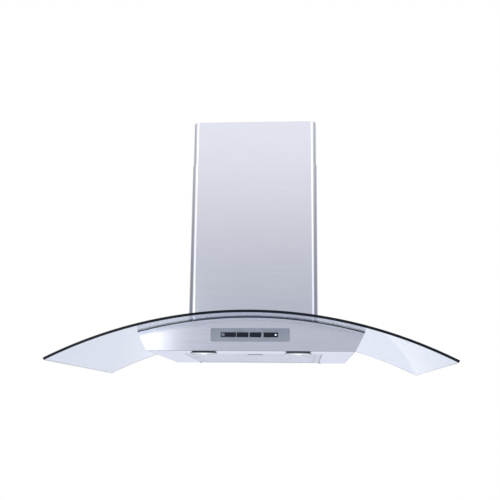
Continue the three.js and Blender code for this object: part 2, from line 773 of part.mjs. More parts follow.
const blower = groupIn(hoodBody, 0, 0, scroll.z);
place(blower, "impeller_wheel", impellerWheel(), moulded);
place(blower, "motor_shaft", drumAcross(shaftRadius, -14, motorSize.front + 30, 16), boltSteel);
place(blower, "motor", motorSolid(), motorEnamel);

place(hoodBody, "power_box", powerBox(), zincSteel);
place(hoodBody, "cable_gland", cableGland(), moulded, [30, motorBox.halfY + 11, -330 + GAP]);

place(hoodBody, "filter_frame", filterFrame(), meshAluminium);
place(hoodBody, "filter_pack", filterPack(), meshAluminium);
place(hoodBody, "filter_latch", latchSolid(), boltSteel);

const bezelGeometry = surface(lampBezel());
const lensGeometry = surface(lampLens());
const canGeometry = surface(lampCan());
const bulbGeometry = surface(lampBulb());
for (const [side, s] of [["left", -1], ["right", 1]]) {
  const spot = groupIn(hoodBody, s * lamp.x, lamp.y, body.bottom);
  place(spot, `lamp_bezel_${side}`, bezelGeometry, chrome);
  place(spot, `lamp_lens_${side}`, lensGeometry, lensGlass);
  place(spot, `lamp_can_${side}`, canGeometry, chrome);
  place(spot, `lamp_bulb_${side}`, bulbGeometry, bulbGlass);
}

place(hoodBody, "control_bezel", controlBezel(), bezelGrey);
place(hoodBody, "control_housing", controlHousing(), moulded);
place(hoodBody, "control_board", controlBoard(), boardGreen);
keySpans.forEach((span, i) => {
  place(hoodBody, `key_${i + 1}`, keyCap(span), keyBlack, [0, 0, control.z]);
});
place(hoodBody, "indicator_lens", indicatorLens(), indicatorWhite, [0, 0, control.z]);

export default hood;
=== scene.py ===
"""Looks of an island range hood with an arched glass canopy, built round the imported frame."""
import json
import math

import bmesh
import bpy
from mathutils import Matrix, Vector


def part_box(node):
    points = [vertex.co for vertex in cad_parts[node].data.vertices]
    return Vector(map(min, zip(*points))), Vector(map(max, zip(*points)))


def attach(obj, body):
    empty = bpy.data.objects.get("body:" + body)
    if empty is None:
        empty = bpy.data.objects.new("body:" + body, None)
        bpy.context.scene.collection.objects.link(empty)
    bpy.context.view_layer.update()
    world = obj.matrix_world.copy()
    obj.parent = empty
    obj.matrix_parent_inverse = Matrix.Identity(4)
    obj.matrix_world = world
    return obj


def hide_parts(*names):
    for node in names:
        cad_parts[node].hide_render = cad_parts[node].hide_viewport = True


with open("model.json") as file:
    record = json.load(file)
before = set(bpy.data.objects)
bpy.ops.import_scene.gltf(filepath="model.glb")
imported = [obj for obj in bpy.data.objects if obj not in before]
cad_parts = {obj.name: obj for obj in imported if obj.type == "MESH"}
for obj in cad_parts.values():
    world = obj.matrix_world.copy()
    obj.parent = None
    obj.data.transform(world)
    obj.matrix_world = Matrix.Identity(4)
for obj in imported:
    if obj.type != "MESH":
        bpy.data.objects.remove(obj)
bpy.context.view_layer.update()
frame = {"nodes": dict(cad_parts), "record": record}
NODES = frame["nodes"]

# ---------------------------------------------------------------- places taken from the frame

glass_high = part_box("glass_canopy")[1]
panel_low, panel_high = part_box("front_panel")
pack_low, pack_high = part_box("filter_pack")
latch_low, latch_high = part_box("filter_latch")
UNDERSIDE = panel_low.z

# ---------------------------------------------------------------- material helpers


class Nodes:
    """A small helper round a material's node tree."""

    def __init__(self, name):
        self.material = bpy.data.materials.new(name)
        self.material.use_nodes = True
        self.tree = self.material.node_tree
        self.shader = self.tree.nodes["Principled BSDF"]

    def new(self, kind, **values):
        """A node with its properties or inputs set."""
        node = self.tree.nodes.new(kind)
        for key, value in values.items():
            if hasattr(node, key):
                setattr(node, key, value)
            else:
                node.inputs[key.replace("_", " ")].default_value = value
        return node

    def link(self, a, b):
        """Feeds output a into input b."""
        self.tree.links.new(a, b)

    def set(self, **values):
        """Sets the shader's own inputs; a name's spaces are written as underscores."""
        for key, value in values.items():
            self.shader.inputs[key.replace("_", " ")].default_value = value

    def place(self, scale=(1, 1, 1)):
        """Object coordinates in metres, scaled."""
        where = self.new("ShaderNodeTexCoord")
        mapping = self.new("ShaderNodeMapping")
        mapping.inputs["Scale"].default_value = scale
        self.link(where.outputs["Object"], mapping.inputs["Vector"])
        return mapping.outputs["Vector"]

    def noise(self, scale, vector=None, detail=2.0, roughness=0.5):
        """The value of a noise over the object."""
        noise = self.new("ShaderNodeTexNoise")
        noise.inputs["Scale"].default_value = scale
        noise.inputs["Detail"].default_value = detail
        noise.inputs["Roughness"].default_value = roughness
        self.link(vector if vector is not None else self.place(), noise.inputs["Vector"])
        return noise.outputs["Fac"]

    def span(self, value, low, high, from_low=0.3, from_high=0.7):
        """A value mapped to the range low to high."""
        node = self.new("ShaderNodeMapRange")
        node.inputs["From Min"].default_value = from_low
        node.inputs["From Max"].default_value = from_high
        node.inputs["To Min"].default_value = low
        node.inputs["To Max"].default_value = high
        self.link(value, node.inputs["Value"])
        return node.outputs["Result"]

    def mix(self, factor, a, b):
        """A colour between a and b, which are either colours or outputs."""
        node = self.new("ShaderNodeMix", data_type="RGBA")
        colours = [socket for socket in node.inputs if socket.type == "RGBA"]
        for value, socket in zip((a, b), colours):
            if isinstance(value, tuple):
                socket.default_value = (*value, 1)
            else:
                self.link(value, socket)
        self.link(factor, node.inputs["Factor"])
        return [socket for socket in node.outputs if socket.type == "RGBA"][0]

    def bump(self, height, strength, distance=0.001):
        """Roughens the shader's normal by a height."""
        node = self.new("ShaderNodeBump")
        node.inputs["Strength"].default_value = strength
        node.inputs["Distance"].default_value = distance
        self.link(height, node.inputs["Height"])
        self.link(node.outputs["Normal"], self.shader.inputs["Normal"])


def shade(colour, factor):
    """A colour made lighter or darker by a factor."""
    return tuple(min(1, c * factor) for c in colour)


def stretched(along, long_scale, cross_scale):
    """Scales for a noise that is drawn out along the named axes."""
    return tuple(long_scale if axis in along else cross_scale for axis in "XYZ")


def brushed(name, along, tint, roughness=(0.125, 0.185), grain=0.05, depth=0.07):
    """Brushed stainless sheet: fine lines along the named axes, with faint clouds in tone and gloss."""
    m = Nodes(name)
    fine = m.noise(1.0, m.place(stretched(along, 7.0, 1400.0)), detail=3, roughness=0.7)
    bands = m.noise(1.0, m.place(stretched(along, 2.0, 260.0)), detail=2)
    clouds = m.noise(6.0, detail=3)
    tone = m.mix(m.span(fine, 0, 1), shade(tint, 1 - grain), shade(tint, 1 + grain))
    m.link(m.mix(m.span(clouds, 0, 0.35), tone, shade(tint, 0.97)), m.shader.inputs["Base Color"])
    m.set(Metallic=1.0)
    added = m.new("ShaderNodeMath", operation="ADD")
    m.link(m.span(fine, roughness[0], roughness[1]), added.inputs[0])
    m.link(m.span(bands, -0.008, 0.008), added.inputs[1])
    m.link(added.outputs[0], m.shader.inputs["Roughness"])
    m.bump(fine, depth, 0.0002)
    return m.material


def zinc(name, tint=(0.50, 0.51, 0.53)):
    """Zinc-plated sheet with crystal spangle and dull patches."""
    m = Nodes(name)
    cells = m.new("ShaderNodeTexVoronoi")
    cells.inputs["Scale"].default_value = 160
    m.link(m.place(), cells.inputs["Vector"])
    dull = m.noise(14, detail=4)
    spangle = m.mix(cells.outputs["Color"], shade(tint, 0.9), shade(tint, 1.06))
    m.link(m.mix(m.span(dull, 0, 0.5), spangle, shade(tint, 0.82)), m.shader.inputs["Base Color"])
    m.set(Metallic=0.9)
    m.link(m.span(dull, 0.38, 0.58), m.shader.inputs["Roughness"])
    m.bump(m.noise(900, detail=2), 0.08, 0.0002)
    return m.material


def moulded(name, tint, roughness=(0.45, 0.6), texture=1800, depth=0.2, specular=0.5):
    """Moulded plastic or rubber with a fine spark-eroded texture."""
    m = Nodes(name)
    grain = m.noise(texture, detail=2)
    clouds = m.noise(20, detail=3)
    lighter = tuple(c * 1.25 + 0.002 for c in tint)
    m.link(m.mix(m.span(clouds, 0, 1), tint, lighter), m.shader.inputs["Base Color"])
    m.set(Specular_IOR_Level=specular)
    m.link(m.span(grain, roughness[0], roughness[1]), m.shader.inputs["Roughness"])
    m.bump(grain, depth, 0.0002)
    return m.material


def polished(name, tint, roughness=(0.08, 0.16)):
    """Bright plated metal with faint polishing haze."""
    m = Nodes(name)
    haze = m.noise(120, detail=3)
    m.link(m.mix(m.span(haze, 0, 1), tint, shade(tint, 0.93)), m.shader.inputs["Base Color"])
    m.set(Metallic=1.0)
    m.link(m.span(haze, roughness[0], roughness[1]), m.shader.inputs["Roughness"])
    m.bump(m.noise(900), 0.03, 0.0001)
    return m.material


def clear_glass(name, tint, roughness=0.0):
    """Clear glass with a trace of colour and faint wiping marks."""
    m = Nodes(name)
    smudge = m.noise(9, detail=4)
    m.link(m.mix(m.span(smudge, 0, 1), tint, shade(tint, 0.985)), m.shader.inputs["Base Color"])
    m.set(Transmission_Weight=1.0, IOR=1.5)
    m.link(m.span(smudge, roughness, roughness + 0.012), m.shader.inputs["Roughness"])
    return m.material


def painted_shade_glass_edge(name):
    """The ground edge of the canopy, slightly frosted, with fine grinding lines; its near-black colour is
    painted shade for the darkness that light leaves in a thick glass edge.
    """
    m = Nodes(name)
    lines = m.noise(1.0, m.place((300, 300, 2600)), detail=2)
    tone = m.mix(m.span(lines, 0, 1), (0.003, 0.005, 0.008), (0.010, 0.014, 0.02))
    m.link(tone, m.shader.inputs["Base Color"])
    m.set(Specular_IOR_Level=0.1)
    m.link(m.span(lines, 0.16, 0.3), m.shader.inputs["Roughness"])
    m.bump(lines, 0.05, 0.0001)
    return m.material


def glow(name, colour, strength):
    """A small light with a slightly uneven glow."""
    m = Nodes(name)
    m.set(Base_Color=(*colour, 1), Emission_Strength=strength)
    hot = m.noise(300)
    m.link(m.mix(m.span(hot, 0, 1), colour, shade(colour, 0.9)), m.shader.inputs["Emission Color"])
    return m.material


# The three brushed steels are one stainless sheet. The front panel's copy is lighter, and the underside's
# and top plate's copy is lighter and bluer, so that each face looks as bright as it does under the light:
# painted light, as lit and shaded copies of one material.
steel_upright = brushed("steel_upright", "XY", (0.62, 0.63, 0.68))
steel_panel = brushed("steel_panel", "XY", (0.66, 0.672, 0.725))
steel_flat = brushed("steel_flat", "X", (0.63, 0.645, 0.732))
zinc_steel = zinc("zinc_steel")
bolt_steel = polished("bolt_steel", (0.50, 0.51, 0.53), (0.2, 0.34))
black_plastic = moulded("black_plastic", (0.022, 0.024, 0.028))
enamel = moulded("motor_enamel", (0.05, 0.055, 0.06), (0.3, 0.42), 700, 0.12)
rubber = moulded("gasket_rubber", (0.012, 0.012, 0.014), (0.6, 0.8), 1200, 0.25, specular=0.2)
# The filter's frame and its wires are one aluminium. The wires' base colour is set much lighter and the
# frame's darker, so that both look equally bright: painted light, as lit and shaded copies of one material.
filter_alu = polished("filter_aluminium", (0.64, 0.65, 0.71), (0.28, 0.42))
core_dark = brushed("filter_core", "X", (0.66, 0.67, 0.72), (0.35, 0.5), 0.2, 0.4)
wire_alu = polished("wire_aluminium", (0.88, 0.89, 0.95), (0.25, 0.4))
# Dark nickel plate for the lamp rings and the tray's screws. On the front hem the same dark colour is
# painted shade along the panel's lower edge.
dark_nickel_and_painted_shade = polished("dark_nickel_and_painted_shade", (0.225, 0.235, 0.25), (0.1, 0.17))
reflector = polished("lamp_reflector", (0.66, 0.64, 0.6), (0.06, 0.14))
bezel_grey = moulded("bezel_grey", (0.27, 0.30, 0.35), (0.36, 0.46), 2200, 0.1)
key_gloss = moulded("key_gloss", (0.007, 0.011, 0.02), (0.3, 0.4), 1500, 0.03, specular=0.18)
mark_grey = moulded("mark_grey", (0.6, 0.63, 0.68), (0.4, 0.5), 2000, 0.05)
board = moulded("board_green", (0.012, 0.09, 0.045), (0.3, 0.45), 600, 0.1)
canopy_clear = clear_glass("canopy_clear", (0.64, 0.70, 0.82))
lens_clear = clear_glass("lens_clear", (0.98, 0.97, 0.94), 0.02)
bulb_clear = clear_glass("bulb_clear", (1.0, 0.97, 0.9))
edge_painted_shade = painted_shade_glass_edge("painted_shade_glass_edge")
led_glow = glow("led_glow", (0.9, 0.96, 1.0), 0.7)

# ---------------------------------------------------------------- carried-over nodes

FINISH = {
    "stainless": steel_upright,
    "zinc_steel": zinc_steel,
    "bolt_steel": bolt_steel,
    "canopy_glass": canopy_clear,
    "gasket_rubber": rubber,
    "moulded_black": black_plastic,
    "motor_enamel": enamel,
    "filter_aluminium": filter_alu,
    "lamp_chrome": reflector,
    "lens_glass": lens_clear,
    "bulb_glass": bulb_clear,
    "bezel_grey": bezel_grey,
    "key_black": key_gloss,
    "board_green": board,
    "indicator_white": led_glow,
}


def finish_edges(obj, width):
    """Joins the facets, rounds the sharp edges a little and shades each face flat up to them."""
    weld = obj.modifiers.new("weld", "WELD")
    weld.merge_threshold = 1e-6
    bevel = obj.modifiers.new("bevel", "BEVEL")
    bevel.width = width
    bevel.segments = 2
    bevel.limit_method = "ANGLE"
    bevel.angle_limit = math.radians(35)
    bevel.use_clamp_overlap = True
    obj.data.shade_smooth()
    normals = obj.modifiers.new("normals", "WEIGHTED_NORMAL")
    normals.weight = 100
    normals.keep_sharp = False


SLOT_OF = {s["node"]: s["material_slot"] for s in frame["record"]["subparts"]}
# Parts that take the lighter or bluer copies of the steel, which are painted light.
PAINTED_LIGHT_STEEL = {"front_panel": steel_panel, "bottom_panel": steel_flat, "top_plate": steel_flat}
ROUNDING = {"stainless": 0.0004, "zinc_steel": 0.0004, "key_black": 0.0005, "bezel_grey": 0.0009}
FINE_ROUNDING = 0.0003

for name, node in NODES.items():
    slot = SLOT_OF[name]
    for place in node.material_slots:
        place.material = PAINTED_LIGHT_STEEL.get(name, FINISH[slot])
    finish_edges(node, ROUNDING.get(slot, FINE_ROUNDING))

# ---------------------------------------------------------------- mesh helpers


def piece(name, mesh, materials, body, nodes=()):
    """A visual piece that rides on a body, in place of the given nodes if there are any."""
    obj = bpy.data.objects.new(name, mesh)
    bpy.context.collection.objects.link(obj)
    for material in materials:
        obj.data.materials.append(material)
    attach(obj, body)
    if nodes:
        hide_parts(*nodes)
    return obj


def smooth(mesh, angle=35):
    """Shades a mesh smooth up to its corners."""
    mesh.shade_smooth()
    mesh.set_sharp_from_angle(angle=math.radians(angle))


def tube_into(bm, points, radius, sides):
    """A closed tube of a given radius through points, added to bm."""
    rings = []
    for i, point in enumerate(points):
        ahead = points[min(i + 1, len(points) - 1)] - points[max(i - 1, 0)]
        turn = ahead.normalized().to_track_quat("Z", "Y")
        ring = []
        for j in range(sides):
            angle = 2 * math.pi * j / sides
            offset = Vector((radius * math.cos(angle), radius * math.sin(angle), 0))
            ring.append(bm.verts.new(point + turn @ offset))
        rings.append(ring)
    for a, b in zip(rings, rings[1:]):
        for j in range(sides):
            bm.faces.new((a[j], a[(j + 1) % sides], b[(j + 1) % sides], b[j]))
    bm.faces.new(rings[0][::-1])
    bm.faces.new(rings[-1])


def lathe_into(bm, profile, centre, axis, segments=24):
    """A closed solid of revolution of [radius, height] points about an axis through centre, added to bm."""
    turn = Vector(axis).to_track_quat("Z", "Y")
    rings = []
    for radius, height in profile:
        if radius == 0:
            rings.append([bm.verts.new(Vector(centre) + turn @ Vector((0, 0, height)))])
            continue
        ring = []
        for j in range(segments):
            angle = 2 * math.pi * j / segments
            offset = Vector((radius * math.cos(angle), radius * math.sin(angle), height))
            ring.append(bm.verts.new(Vector(centre) + turn @ offset))
        rings.append(ring)
    for a, b in zip(rings, rings[1:]):
        for j in range(segments):
            k = (j + 1) % segments
            if len(a) == 1:
                bm.faces.new((a[0], b[k], b[j]))
            elif len(b) == 1:
                bm.faces.new((a[j], a[k], b[0]))
            else:
                bm.faces.new((a[j], a[k], b[k], b[j]))


def done(bm, name, angle=35):
    """The finished mesh, with its faces turned outwards and its corners kept sharp."""
    bmesh.ops.recalc_face_normals(bm, faces=bm.faces)
    mesh = bpy.data.meshes.new(name)
    bm.to_mesh(mesh)
    bm.free()
    smooth(mesh, angle)
    return mesh

# ---------------------------------------------------------------- canopy

RADIUS = 1.0
THICK = 0.006
ARCH_CENTRE = glass_high.z - RADIUS
CUT_X, CUT_Y = 0.128, 0.103
ARC_STEPS = 120


def canopy_stations():
    """The angles along the arch and the places across it, with the cut-out's edges among them."""
    end = math.asin(glass_high.x / RADIUS)
    cut_end = math.asin(CUT_X / RADIUS)
    even = {round(-end + 2 * end * i / ARC_STEPS, 9) for i in range(ARC_STEPS + 1)}
    clear = {a for a in even if abs(abs(a) - cut_end) > 0.002}
    half_y = glass_high.y
    return sorted(clear | {-cut_end, cut_end}), [-half_y, -0.2, -CUT_Y, 0.0, CUT_Y, 0.2, half_y]


def canopy_cells(xs, ys):
    """The cells of the grid that hold glass."""
    cut_end = math.asin(CUT_X / RADIUS)
    cells = []
    for i in range(len(xs) - 1):
        for j in range(len(ys) - 1):
            a, y = (xs[i] + xs[i + 1]) / 2, (ys[j] + ys[j + 1]) / 2
            if abs(a) > cut_end or abs(y) > CUT_Y:
                cells.append((i, j))
    return cells


def canopy_mesh():
    """A bent sheet with a rectangular cut-out; its rim faces take the second material."""
    xs, ys = canopy_stations()
    cells = canopy_cells(xs, ys)
    held = set(cells)
    bm = bmesh.new()
    grids = []
    for radius in (RADIUS, RADIUS - THICK):
        rows = [(radius * math.sin(a), ARCH_CENTRE + radius * math.cos(a)) for a in xs]
        grids.append([[bm.verts.new((x, y, z)) for y in ys] for x, z in rows])
    top, low = grids
    for i, j in cells:
        bm.faces.new((top[i][j], top[i + 1][j], top[i + 1][j + 1], top[i][j + 1]))
        bm.faces.new((low[i][j], low[i][j + 1], low[i + 1][j + 1], low[i + 1][j]))
        rims = (
            ((i, j), (i + 1, j), (i, j - 1)),
            ((i + 1, j), (i + 1, j + 1), (i + 1, j)),
            ((i + 1, j + 1), (i, j + 1), (i, j + 1)),
            ((i, j + 1), (i, j), (i - 1, j)),
        )
        for (a0, b0), (a1, b1), neighbour in rims:
            if neighbour not in held:
                rim = bm.faces.new((top[a0][b0], low[a0][b0], low[a1][b1], top[a1][b1]))
                rim.material_index = 1
    bmesh.ops.remove_doubles(bm, verts=bm.verts, dist=1e-7)
    return done(bm, "canopy")


canopy_finish = [canopy_clear, edge_painted_shade]
sheet = piece("canopy_sheet", canopy_mesh(), canopy_finish, "hood", ["glass_canopy"])
arris = sheet.modifiers.new("arris", "BEVEL")
arris.width = 0.0005
arris.segments = 2
arris.limit_method = "ANGLE"
arris.angle_limit = math.radians(60)
# The bevelled arris takes the edge material too, with its painted shade.
arris.material = 1

# ---------------------------------------------------------------- filter mesh

WIRE_PITCH = 0.006
WIRE_RADIUS = 0.00045
WIRE_WAVE = 0.0004
WEAVE_LEVEL = UNDERSIDE + 0.0013

# The clear space that the weave and the core leave round the latch.
WEAVE_MARGIN, WEAVE_DEPTH = 0.016, 0.036
CORE_MARGIN, CORE_DEPTH = 0.015, 0.035


def in_notch(x, y):
    """True where the latch needs the room."""
    beside = latch_low.x - WEAVE_MARGIN < x < latch_high.x + WEAVE_MARGIN
    return beside and y < pack_low.y + WEAVE_DEPTH


def wire_runs(row, along, spans):
    """One wire of the weave as lists of points, broken where the latch stands."""
    low_a, high_a = spans[along]
    b = spans[1 - along][0] + row * WIRE_PITCH
    steps = int((high_a - low_a) / (WIRE_PITCH / 2))
    runs = [[]]
    for step in range(steps + 1):
        a = low_a + step * WIRE_PITCH / 2
        wave = math.cos(math.pi * (step / 2 + row + along))
        x, y = (a, b) if along == 0 else (b, a)
        if in_notch(x, y):
            runs.append([])
        else:
            runs[-1].append(Vector((x, y, WEAVE_LEVEL + wave * WIRE_WAVE)))
    return [run for run in runs if len(run) > 2]


def woven_mesh():
    """Wires that run along X and Y and pass over and under each other, in front of a packed core."""
    bm = bmesh.new()
    inset = 0.001
    spans = [(pack_low.x + inset, pack_high.x - inset), (pack_low.y + inset, pack_high.y - inset)]
    for along in (0, 1):
        low_b, high_b = spans[1 - along]
        for row in range(int((high_b - low_b) / WIRE_PITCH) + 1):
            for run in wire_runs(row, along, spans):
                tube_into(bm, run, WIRE_RADIUS, 4)
    return done(bm, "woven_mesh", 60)


def packed_core():
    """The layers behind the woven mesh, as a sheet with the latch's notch."""
    bm = bmesh.new()
    notch_left, notch_right = latch_low.x - CORE_MARGIN, latch_high.x + CORE_MARGIN
    notch_end = pack_low.y + CORE_DEPTH
    outline = [
        (pack_low.x, pack_low.y), (notch_left, pack_low.y), (notch_left, notch_end),
        (notch_right, notch_end), (notch_right, pack_low.y), (pack_high.x, pack_low.y),
        (pack_high.x, pack_high.y), (pack_low.x, pack_high.y),
    ]
    face = bm.faces.new([bm.verts.new((x, y, WEAVE_LEVEL + 2 * WIRE_RADIUS)) for x, y in outline])
    grown = bmesh.ops.extrude_face_region(bm, geom=[face])
    for vert in [v for v in grown["geom"] if isinstance(v, bmesh.types.BMVert)]:
        vert.co.z = pack_high.z
    return done(bm, "packed_core")


piece("filter_weave", woven_mesh(), [wire_alu], "filter", ["filter_pack"])
piece("filter_core", packed_core(), [core_dark], "filter", ["filter_pack"])

# ---------------------------------------------------------------- lamps

LENS_RADIUS = 0.0266
MOUTH_RADIUS = 0.0236
LENS_DOME = 0.0006
LENS_RINGS = 12
FLUTE_DEPTH = 0.00006


def lamp_lens_material():
    """A frosted lens that glows from the bulb behind it; one material serves both lamps."""
    m = Nodes("lamp_lens")
    frost = m.noise(900, detail=2)
    tone = m.mix(m.span(frost, 0, 1), (0.46, 0.46, 0.48), (0.54, 0.54, 0.56))
    m.link(tone, m.shader.inputs["Base Color"])
    m.link(m.span(frost, 0.12, 0.2), m.shader.inputs["Roughness"])
    m.set(Specular_IOR_Level=0.6, Emission_Color=(1.0, 0.985, 0.955, 1))
    m.bump(frost, 0.08, 0.0002)
    where = m.new("ShaderNodeTexCoord")
    split = m.new("ShaderNodeSeparateXYZ")
    m.link(where.outputs["Object"], split.inputs[0])
    across = m.new("ShaderNodeMath", operation="ABSOLUTE")
    m.link(split.outputs["X"], across.inputs[0])
    spot = m.new("ShaderNodeCombineXYZ")
    m.link(across.outputs[0], spot.inputs["X"])
    m.link(split.outputs["Y"], spot.inputs["Y"])
    lens_low, lens_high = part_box("lamp_lens_right")
    middle = (lens_low + lens_high) / 2
    away = m.new("ShaderNodeVectorMath", operation="DISTANCE")
    m.link(spot.outputs[0], away.inputs[0])
    away.inputs[1].default_value = (middle.x, middle.y, 0)
    m.link(m.span(away.outputs["Value"], 1.5, 0.12, 0.002, 0.010), m.shader.inputs["Emission Strength"])
    return m.material


lens_glow = lamp_lens_material()

# The ring's section, as radius and height from the underside in millimetres.
RING_SECTION = [
    (24.0, -4.7), (24.6, -5.0), (28.6, -5.0), (30.6, -4.7), (31.8, -4.1), (32.1, -3.3), (31.2, -2.4),
    (29.6, -1.5), (28.2, -0.6), (28.2, 5.0), (27.0, 5.0), (27.0, -3.6), (24.0, -3.6), (24.0, -4.7),
]


def ring_mesh(node):
    """The lamp's domed ring, smooth all round."""
    low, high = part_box(node)
    centre = ((low.x + high.x) / 2, (low.y + high.y) / 2, UNDERSIDE)
    bm = bmesh.new()
    lathe_into(bm, [(r / 1000, h / 1000) for r, h in RING_SECTION], centre, (0, 0, 1), 56)
    bmesh.ops.remove_doubles(bm, verts=bm.verts, dist=1e-7)
    return done(bm, "lamp_ring", 32)


def lens_mesh(node):
    """A gently domed lens with a ring of fine flutes."""
    lens_low, lens_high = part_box(node)
    centre = ((lens_low.x + lens_high.x) / 2, (lens_low.y + lens_high.y) / 2, 0)
    shoulder = lens_high.z - 0.002
    profile = [(0, lens_high.z), (LENS_RADIUS, lens_high.z)]
    profile += [(LENS_RADIUS, shoulder), (MOUTH_RADIUS, shoulder)]
    for i in range(LENS_RINGS):
        part = 1 - i / LENS_RINGS
        flute = FLUTE_DEPTH * (i % 2)
        profile.append((MOUTH_RADIUS * part, lens_low.z + LENS_DOME * (part ** 2 - 1) + flute))
    profile.append((0, lens_low.z - LENS_DOME))
    bm = bmesh.new()
    lathe_into(bm, profile, centre, (0, 0, 1), 40)
    return done(bm, "lens")


for side in ("left", "right"):
    ring_node, lens_node = f"lamp_bezel_{side}", f"lamp_lens_{side}"
    piece(f"ring_{side}", ring_mesh(ring_node), [dark_nickel_and_painted_shade], "hood", [ring_node])
    piece(f"lens_{side}", lens_mesh(lens_node), [lens_glow], "hood", [lens_node])

# ---------------------------------------------------------------- control strip details


def ring_into(bm, centre, outer, inner, thick):
    """A flat ring that faces the front, added to bm."""
    profile = [(inner, 0), (outer, 0), (outer, thick), (inner, thick), (inner, 0)]
    lathe_into(bm, profile, centre, (0, -1, 0))


def bar_into(bm, centre, size):
    """A box of a given size, added to bm."""
    made = bmesh.ops.create_cube(bm, size=1)
    for vert in made["verts"]:
        vert.co = Vector(centre) + Vector([vert.co[i] * size[i] for i in range(3)])


SIGN_INSET = 0.0052
SIGN_RAYS = 8
SIGN_RADIUS = 0.0036
SIGN_THICK = 0.0002
RAY_WIDTH = 0.0008


def key_marks():
    """A small generic lamp sign on the first key."""
    key_low, key_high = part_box("key_1")
    face = key_low.y
    x, z = key_low.x + SIGN_INSET, (key_low.z + key_high.z) / 2
    bm = bmesh.new()
    ring_into(bm, (x, face + SIGN_THICK / 2, z), 0.0022, 0.0015, SIGN_THICK)
    for i in range(SIGN_RAYS):
        angle = 2 * math.pi * i / SIGN_RAYS
        centre = (x + SIGN_RADIUS * math.cos(angle), face, z + SIGN_RADIUS * math.sin(angle))
        bar_into(bm, centre, (RAY_WIDTH, SIGN_THICK, RAY_WIDTH))
    bmesh.ops.remove_doubles(bm, verts=bm.verts, dist=1e-7)
    return done(bm, "key_marks")


piece("key_1_mark", key_marks(), [mark_grey], "key_1")

# The light is a domed stud, given as radius and height, a little to the left of the filler's middle.
LIGHT_SHIFT = 0.0005
LIGHT_SECTION = [
    (0, -0.001), (0.0018, -0.001), (0.0018, 0.0002), (0.0014, 0.0006), (0.0007, 0.0009), (0, 0.001),
]
indicator_low, indicator_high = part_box("indicator_lens")
indicator_middle = (indicator_low + indicator_high) / 2


def indicator_filler():
    """The dark filler at the strip's right end."""
    bm = bmesh.new()
    bar_into(bm, indicator_middle, indicator_high - indicator_low)
    bmesh.ops.bevel(bm, geom=bm.edges[:], offset=0.0004, segments=2, affect="EDGES")
    return done(bm, "indicator_filler")


def indicator_light():
    """The small round light in the filler."""
    bm = bmesh.new()
    centre = (indicator_middle.x - LIGHT_SHIFT, indicator_low.y, indicator_middle.z)
    lathe_into(bm, LIGHT_SECTION, centre, (0, -1, 0), 20)
    return done(bm, "indicator_light", 60)


piece("indicator_filler", indicator_filler(), [key_gloss], "hood", ["indicator_lens"])
piece("indicator_light", indicator_light(), [led_glow], "hood")

# ---------------------------------------------------------------- trims of the front panel

# Both trims run along the middle of the sheet's thickness and end just short of its corners.
TRIM_PLANE = panel_low.y + 0.0006
HEM_REACH = 0.2365
HEM_RADIUS = 0.0006
LIP_REACH = panel_high.x - 0.0008
LIP_RADIUS = 0.001
LIP_STEPS = 48
PANEL_ARCH = panel_high.z - ARCH_CENTRE


def hem_mesh():
    """The folded bead along the front panel's lower edge."""
    bm = bmesh.new()
    ends = [Vector((x, TRIM_PLANE, UNDERSIDE)) for x in (-HEM_REACH, HEM_REACH)]
    tube_into(bm, ends, HEM_RADIUS, 12)
    return done(bm, "hem")


def lip_mesh():
    """The rubber lip that clips over the front panel's arched top edge."""
    bm = bmesh.new()
    points = []
    for i in range(LIP_STEPS + 1):
        x = LIP_REACH * (2 * i / LIP_STEPS - 1)
        points.append(Vector((x, TRIM_PLANE, ARCH_CENTRE + math.sqrt(PANEL_ARCH ** 2 - x * x))))
    tube_into(bm, points, LIP_RADIUS, 10)
    return done(bm, "lip")


# The hem is drawn in the dark metal, not in the panel's steel: painted shade for the dark line along the
# panel's lower edge.
piece("front_hem_painted_shade", hem_mesh(), [dark_nickel_and_painted_shade], "hood")
piece("gasket_lip", lip_mesh(), [rubber], "hood")

# ---------------------------------------------------------------- screws

# Sections as radius and height over the sheet: a pan head, and a flush head where a cover slides past.
PAN_SCREW = [
    (0, -0.0022), (0.0014, -0.0022), (0.0014, 0), (0.0036, 0), (0.0036, 0.0005), (0.0031, 0.0012),
    (0.0021, 0.0017), (0.0013, 0.0018), (0.0012, 0.0009), (0, 0.0009),
]
FLUSH_SCREW = [
    (0, -0.0022), (0.0012, -0.0022), (0.0012, -0.0006), (0.0026, 0.00005), (0.0026, 0.00015),
    (0.0011, 0.00015), (0.001, -0.0009), (0, -0.0009),
]
SIGNS = (-1, 1)


def screw_set(name, places, body, material, section=PAN_SCREW, scale=1.0):
    """Screws at [point, outward axis] places, as one piece."""
    bm = bmesh.new()
    for point, axis in places:
        lathe_into(bm, [(r * scale, h * scale) for r, h in section], point, axis, 18)
    piece(name, done(bm, name, 40), [material], body)


def cover_places(node, height, spacing):
    """Two screws in each side face of a chimney cover."""
    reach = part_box(node)[1].x
    return [((s * reach, y, height), (s, 0, 0)) for s in SIGNS for y in (-spacing, spacing)]


# Offsets of the tray's screws from its middle, and how far the rear ones stand above the underside.
CORNER_SCREW = (0.168, 0.212)
REAR_SCREWS = (0.06, 0.2)
REAR_HEIGHT = 0.012


def tray_places():
    """A screw beside each rear corner of the filter, and two in each half of the rear panel."""
    places = []
    for s in SIGNS:
        places.append(((s * CORNER_SCREW[0], CORNER_SCREW[1], UNDERSIDE), (0, 0, -1)))
        for x in REAR_SCREWS:
            places.append(((s * x, -panel_low.y, UNDERSIDE + REAR_HEIGHT), (0, 1, 0)))
    return places


